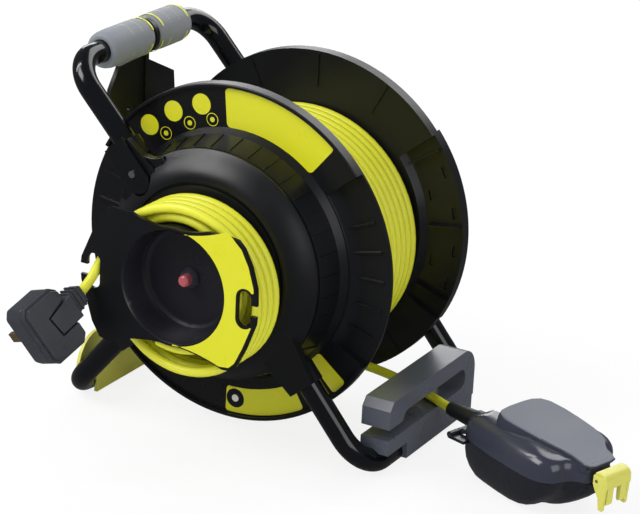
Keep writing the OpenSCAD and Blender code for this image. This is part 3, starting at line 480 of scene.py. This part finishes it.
def web(side, offset=LEG_OFFSET, rim=97.0, sleeve=12.3, bend=24):
    """Outline of the web between the sleeve's side and the disc's rim, in the leg's frame."""
    middle = Vector((0, -offset))
    z = side * (sleeve + bend)
    centre = Vector((math.sqrt((rim + bend) ** 2 - (z + offset) ** 2), z))
    touch = middle + (centre - middle) * rim / (rim + bend)
    first, last = -90 * side, math.degrees(math.atan2(touch.y - centre.y, touch.x - centre.x))
    if abs(last - first) > 180:
        last += 360 if last < first else -360
    bows = [math.radians(first + (last - first) * k / 10) for k in range(11)]
    curve = [centre + bend * Vector((math.cos(bow), math.sin(bow))) for bow in bows]
    root = [tuple(middle + (touch - middle) * 0.95), (84, side * 12), (centre.x, side * 6)]
    return [tuple(p) for p in curve] + root


leg = Matrix.Translation(AXLE) @ Matrix.Rotation(math.radians(-133), 4, "Y")
leg = leg @ Matrix.Translation((0, 0, LEG_OFFSET / 1000))
for side in (-1, 1):
    body = prism(web(side), -105.2, -98.2, leg)
    rounded(built(f"web_handle_{side + 1}", body, polished_abs, "root"), 0.9)
print("two webs at the handle's arm")

# %% [markdown]
# ## Cords
# A flexible cord is round, so a curve with a round bevel is the plainest true model of it. Its points
# repeat the route that the CAD solids follow, and a Catmull-Rom curve joins them without a corner.

# %% Cord helpers
CABLE_R = 4.1
TURN = 72  # points in one turn of a coil
STEP = 360 // TURN  # degrees between them


def smooth_path(points, steps=6):
    """Points on a Catmull-Rom curve through the given ones."""
    points = [Vector(p) for p in points]
    ends = [2 * points[0] - points[1]] + points + [2 * points[-1] - points[-2]]
    path = []
    for a, b, c, d in zip(ends, ends[1:], ends[2:], ends[3:]):
        for k in range(steps):
            t = k / steps
            path.append(0.5 * (2 * b + (c - a) * t + (2 * a - 5 * b + 4 * c - d) * t * t
                               + (3 * b - a - 3 * c + d) * t**3))
    return path + [points[-1]]


def coil_point(angle, radius, y, shift=(0, 0)):
    """A point of a coil round the axle, whose centre may be shifted in X and Z."""
    turn = math.radians(angle)
    return Vector((radius * math.cos(turn) + shift[0], y, radius * math.sin(turn) + shift[1]))


def round_cord(name, points, radius, body, material, sides=3):
    """A cord as a bevelled curve through points in millimetres from the axle."""
    data = bpy.data.curves.new(name, "CURVE")
    data.dimensions = "3D"
    data.bevel_depth = radius / 1000
    data.bevel_resolution = sides
    data.use_fill_caps = True
    line = data.splines.new("POLY")
    line.points.add(len(points) - 1)
    for target, point in zip(line.points, points):
        target.co = (*at(*point), 1)
    line.use_smooth = True
    data.materials.append(material)
    cord = bpy.data.objects.new(name, data)
    scene.collection.objects.link(cord)
    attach(cord, body)
    return cord


def length_of(points):
    """Length of a line through points."""
    return sum((b - a).length for a, b in zip(points, points[1:]))


print("a cable of", 2 * CABLE_R, "mm, with", TURN, "points in a turn")

# %% [markdown]
# ## The lead and its spool
# Three metres of lead lie in two layers on the fixed spool: one to the back, half a turn outwards, and
# one to the front again. Then it slips through the notch of the plate and runs down to the plug.

# %% Supply lead
LEAD_TURNS, LEAD_PITCH, LEAD_FRONT, LEAD_END = 3.6, 9.0, -153.5, 132
LAYER = 3 * round(TURN / 3 * LEAD_TURNS)  # points in one layer
CROSS = TURN // 2  # points in the half turn that climbs from the inner layer to the outer one
start = LEAD_END - STEP * (2 * LAYER + CROSS)
back_y = LEAD_FRONT + LEAD_PITCH * LEAD_TURNS
inner, outer, shift = 54.7, 69.5, Vector((2.5, -5.4))
lead = [coil_point(start + STEP * i, inner, LEAD_FRONT + LEAD_PITCH * i / TURN) for i in range(LAYER)]
for i in range(CROSS):
    u = i / CROSS
    y = back_y + 1.4 * math.sin(math.pi * u)
    lead.append(coil_point(start + STEP * (LAYER + i), inner + (outer - inner) * u, y, shift * u))
lead += [coil_point(start + STEP * (LAYER + CROSS + i), outer, back_y - LEAD_PITCH * i / TURN, shift)
         for i in range(LAYER + 1)]
lead_route = [
    (-51.7, -153.5, 38.7), (-58.7, -153.3, 30.1), (-64.8, -153.2, 20.9), (-69.7, -154, 11.1),
    (-73.2, -157.2, 1.2), (-75.4, -163, -7.9), (-77.4, -171, -15.2), (-78.4, -175.2, -17.7),
]
lead += smooth_path(lead_route, 5)
supply_lead = round_cord("supply_lead", lead, CABLE_R, "root", pvc_cable)
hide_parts("lead_coil", "lead_tail")
print("supply lead", round(length_of(lead)), "mm")

# %% [markdown]
# ## The trailing cable
# The end of the thirty metres comes off the underside of the drum, rests on the slot of the guide and
# runs in one easy curve to the boot of the trailing socket, and on through it into the box's neck.

# %% Trailing cable
cord_route = [
    (14, 46, -121), (30, 46, -121), (45, 45.8, -121), (60, 45, -121), (75, 43.2, -121),
    (88, 40.6, -121), (100, 37.4, -121), (111, 33.8, -121), (122, 29.8, -121), (133, 25.2, -121),
    (143, 20.4, -121), (152, 15.8, -121), (161, 10.9, -121), (170.8, 6.1, -121.06),
    (180.8, 2.8, -121.06), (192, -0.8, -121.06), (204, -4.7, -121.06), (215, -8.3, -121.06),
]
trail = smooth_path(cord_route, 4)
trailing = round_cord("trailing_cable", trail, CABLE_R, "root", pvc_cable)
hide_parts("trailing_cord")
print("trailing cable", round(length_of(trail)), "mm")

# %% [markdown]
# ## The winding
# The drum holds thirty metres in layers. The outer layer hangs a little loose, so its turns sag below
# the axle and stand apart by a hair. Two more layers are wound below it, because they show between
# the turns and from the sides.

# %% Winding on the drum


def wound(radius, turns, pitch, sag, first, wander):
    """A layer on the drum, its turns centred between the flanges and wandering a little."""
    count = round(TURN * turns)
    points = []
    for i in range(count + 1):
        drift = wander * math.sin(2.4 * i / TURN + first) * math.sin(5.1 * i / TURN)
        y = pitch * (i - count / 2) / TURN + drift
        points.append(coil_point(first + STEP * i, radius + 0.4 * drift, y, (0, -sag)))
    return points


outer_layer = wound(103.5, 12.7, 8.64, 8, -90, 0.12)
winding = round_cord("cable_winding_outer", outer_layer, CABLE_R, "drum", pvc_cable, 4)
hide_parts("cable_winding")
for name, radius, first in (("cable_winding_middle", 85.9, 40), ("cable_winding_inner", 78.6, 200)):
    turns = wound(radius, 12.6, 8.6, 0, first, 0.1)
    layer = round_cord(name, turns, CABLE_R, "drum", pvc_cable, 2)
    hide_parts("cable_core")
print("outer layer", round(length_of(outer_layer) / 1000, 2), "m")

# %% [markdown]
# ## Printed panels
# The drum's label is a printed vinyl ring that fills the two broad lobes of the front flange: black
# with yellow fields and discs. Each field is a short radial edge spun round the axle, its corners are
# rounded as vertices, and an extrusion of a tenth of a millimetre makes it a film on the plastic.

# %% Films round the axle
FILM = -0.12  # thickness of a print, towards the front


def film(shape):
    """Gives the flat faces of a bmesh the thickness of a print along Y."""
    grown = bmesh.ops.extrude_face_region(shape, geom=shape.faces[:])["geom"]
    moved = [part for part in grown if isinstance(part, bmesh.types.BMVert)]
    bmesh.ops.translate(shape, verts=moved, vec=(0, FILM / 1000, 0))
    return shape


def round_corners(shape, radius):
    """Rounds the vertices that stand at a corner of a flat strip."""
    corners = [v for v in shape.verts if len(v.link_edges) == 2]
    bmesh.ops.bevel(shape, geom=corners, offset=radius / 1000, segments=5, profile=0.5, affect="VERTICES",
                    material=-1)


def sector(inner, outer, first, last, y, corner=0.0):
    """A film between two radii and two angles round the axle."""
    shape = bmesh.new()
    ends = [shape.verts.new(at(*coil_point(first, radius, y))) for radius in (inner, outer)]
    edge = shape.edges.new(ends)
    bmesh.ops.spin(shape, geom=[*ends, edge], cent=AXLE, axis=(0, -1, 0), angle=math.radians(last - first),
                   steps=max(2, round((last - first) / 2.6)))
    if corner:
        round_corners(shape, corner)
    return film(shape)


def disc(radius, x, y, z, inner=0.0):
    """A round film, or a ring where it has an inner radius."""
    shape = bmesh.new()
    place = Matrix.Translation(at(x, y, z)) @ Matrix.Rotation(math.pi / 2, 4, "X")
    bmesh.ops.create_circle(shape, cap_ends=not inner, segments=40, radius=radius / 1000, matrix=place)
    if inner:
        bmesh.ops.create_circle(shape, cap_ends=False, segments=40, radius=inner / 1000, matrix=place)
        bmesh.ops.bridge_loops(shape, edges=shape.edges[:])
    return film(shape)


def at_angle(angle, radius):
    """X and Z of a point at an angle round the axle."""
    return radius * math.cos(math.radians(angle)), radius * math.sin(math.radians(angle))


LABEL_Y = -67.5
fields = (
    ("black_top", black_print, 108, 141, 95.5, 139, 3),
    ("yellow_top", yellow_print, 108, 141, 50.5, 95.5, 4),
    ("black_bottom", black_print, 108, 141, -138, -91.2, 3),
    ("yellow_bottom", yellow_print, 118, 141, -91, -59, 3),
    ("yellow_right", yellow_print, 108, 141, -45, -38.5, 3),
    ("black_hub", black_print, 108, 117.6, -91, -59, 0),
)
for name, material, inner, outer, first, last, corner in fields:
    shape = sector(inner, outer, first, last, LABEL_Y, corner)
    built("label_" + name, shape, material, "drum")
for k, (angle, small) in enumerate(((131.7, 127), (119.1, 113.8), (106.1, 102.4))):
    x, z = at_angle(angle, 127.5)
    built(f"label_disc_{k}", disc(8.8, x, LABEL_Y + FILM, z), yellow_print, "drum")
    x, z = at_angle(small, 114)
    built(f"label_ring_{k}", disc(5.6, x, LABEL_Y + FILM, z, 5.0), yellow_print, "drum")
    built(f"label_dot_{k}", disc(2.2, x, LABEL_Y + FILM, z), yellow_print, "drum")
x, z = at_angle(-87, 128)
built("label_black_disc", disc(8.5, x, LABEL_Y + FILM, z), black_print, "drum")
built("label_white_dot", disc(3.2, x, LABEL_Y + 2 * FILM, z), nylon, "drum")
print("labels on the drum")

# %% [markdown]
# The storage plate carries a yellow print between the cup's mouth and the plate's edge. Its outline
# follows the plate two millimetres inside, goes round the notch, and comes back along the cup.

# %% Print on the storage plate
PLATE_Y, WAIST, MOUTH = -162, 50, 49.2


def arc(x, z, radius, first, last, step):
    """Points about a step of degrees apart on an arc round a centre."""
    count = max(2, round(abs(last - first) / step))
    turns = [math.radians(first + (last - first) * k / count) for k in range(count + 1)]
    return [(x + radius * math.cos(turn), z + radius * math.sin(turn)) for turn in turns]


top_edge = [(x, WAIST + 115.3 - math.sqrt(119**2 - (x + 2) ** 2)) for x in range(10, 51, 4)]
low_edge = [(x, -WAIST - 148.8 + math.sqrt(151**2 - (x + 4) ** 2)) for x in range(46, 1, -4)]
outline = (
    top_edge + [(57.5, 51.2), (63.2, 46), (70, 33), (75.2, 16), (75.4, 12.5)] + arc(67.5, 6.7, 8, 40, 180, 14)
    + arc(67.5, -11.2, 8, 180, 315, 14) + [(74.2, -17), (66.8, -36), (60, -50.5), (55, -55.3)] + low_edge
    + arc(0, 0, MOUTH, -88, 76, 5)
)
shape = bmesh.new()
corners = [shape.verts.new(at(x, PLATE_Y, z)) for x, z in outline]
rim = [shape.edges.new(pair) for pair in zip(corners, corners[1:] + corners[:1])]
bmesh.ops.triangle_fill(shape, use_beauty=True, use_dissolve=False, edges=rim)
built("plate_print", film(shape), yellow_print, "root")
print(len(outline), "points in the print's outline")

# %% [markdown]
# The grip has moulded-in arcs of yellow for a better hold. An arc is a short edge along the handle
# bar, spun round it, with round ends.

# %% Arcs on the grip
HANDLE = at(-144.98, 0, 143.74)


def band(y, first, last, radius=16.5, half=0.95):
    """An arc of paint round the handle bar, half as wide as told on each side of y."""
    shape = bmesh.new()
    start = Matrix.Rotation(math.radians(-first), 4, "Y") @ Vector((radius / 1000, 0, 0))
    ends = [shape.verts.new(HANDLE + start + Vector((0, (y + side * half) / 1000, 0))) for side in (-1, 1)]
    edge = shape.edges.new(ends)
    bmesh.ops.spin(shape, geom=[*ends, edge], cent=HANDLE, axis=(0, -1, 0), angle=math.radians(last - first),
                   steps=round((last - first) / 5))
    round_corners(shape, 0.85)
    bmesh.ops.solidify(shape, geom=shape.faces[:], thickness=0.0003)
    return shape


for k, y in enumerate((-22, -8, 6, 22, 35, 48, 61)):
    built(f"grip_arc_top_{k}", band(y, 30, 150), yellow_abs, "root")
    built(f"grip_arc_low_{k}", band(y - 3, -150, -12), yellow_abs, "root")
print("fourteen arcs on the grip")

# %% [markdown]
# ## Studio
# The reel stands on a pale floor that runs past the picture's edges. One large soft lamp above the
# left shoulder and a narrow strip beside it draw the long highlights on the black tubes. A second
# large lamp fills from the right, two behind the reel edge the rims, and a dim world keeps the shadows
# open. The floor shines by itself for the camera, and looks dark in reflections.

# %% Floor, lamps and world
ground = bmesh.new()
bmesh.ops.create_grid(ground, x_segments=1, y_segments=1, size=9)
floor_mesh = bpy.data.meshes.new("floor")
ground.to_mesh(floor_mesh)
ground.free()
floor = bpy.data.objects.new("floor", floor_mesh)
scene.collection.objects.link(floor)
floor.location.z = -0.0003
paper = surface("pale_studio_floor", "#f6f6f6", 0.8, grain=3, relief=0.01, tint=0.01)
tree = paper.node_tree
path = node(tree, "LightPath").outputs
lit = node(tree, "Emission", {"Color": linear("#ffffff"), "Strength": 1.0}).outputs[0]
dim = node(tree, "Emission", {"Color": linear("#ffffff"), "Strength": 0.12}).outputs[0]
share = node(tree, "Math", {0: path["Is Camera Ray"], 1: 0.85}, operation="MULTIPLY").outputs[0]
seen = node(tree, "MixShader", {0: share, 1: tree.nodes["Principled BSDF"].outputs[0], 2: lit}).outputs[0]
mirrored = node(tree, "MixShader", {0: path["Is Glossy Ray"], 1: seen, 2: dim}).outputs[0]
tree.links.new(mirrored, tree.nodes["Material Output"].inputs["Surface"])
floor_mesh.materials.append(paper)

for name, spot, aim, wide, high, watts in (
    ("key", (-1.5, -1.9, 2.3), (0, 0, 0.1), 1.6, 1.6, 56),
    ("fill", (2.6, -1.2, 1.3), (0, 0, 0.1), 1.8, 1.8, 24),
    ("rim", (0.4, 2.2, 2.0), (0, 0, 0.1), 1.6, 1.6, 26),
    ("sheen", (-1.3, 2.3, 1.1), (0, 0, 0.15), 2.2, 0.9, 22),
    ("strip", (-1.4, -0.6, 1.6), (0, 0, 0.15), 0.14, 1.6, 12),
):
    lamp = bpy.data.lights.new(name, "AREA")
    lamp.shape = "RECTANGLE"
    lamp.size = wide
    lamp.size_y = high
    lamp.energy = watts
    holder = bpy.data.objects.new(name, lamp)
    scene.collection.objects.link(holder)
    holder.location = spot
    holder.rotation_euler = (Vector(aim) - Vector(spot)).to_track_quat("-Z", "Y").to_euler()

world = bpy.data.worlds.new("studio")
scene.world = world
world.use_nodes = True
background = world.node_tree.nodes["Background"]
background.inputs["Color"].default_value = linear("#e8eaee")
glossy = node(world.node_tree, "LightPath").outputs["Is Glossy Ray"]
strength = node(world.node_tree, "MapRange", {"Value": glossy, "To Min": 0.55, "To Max": 0.14}).outputs[0]
world.node_tree.links.new(strength, background.inputs["Strength"])
scene.view_settings.view_transform = "Standard"
print("lamps:", ", ".join(lamp.name for lamp in bpy.data.lights))
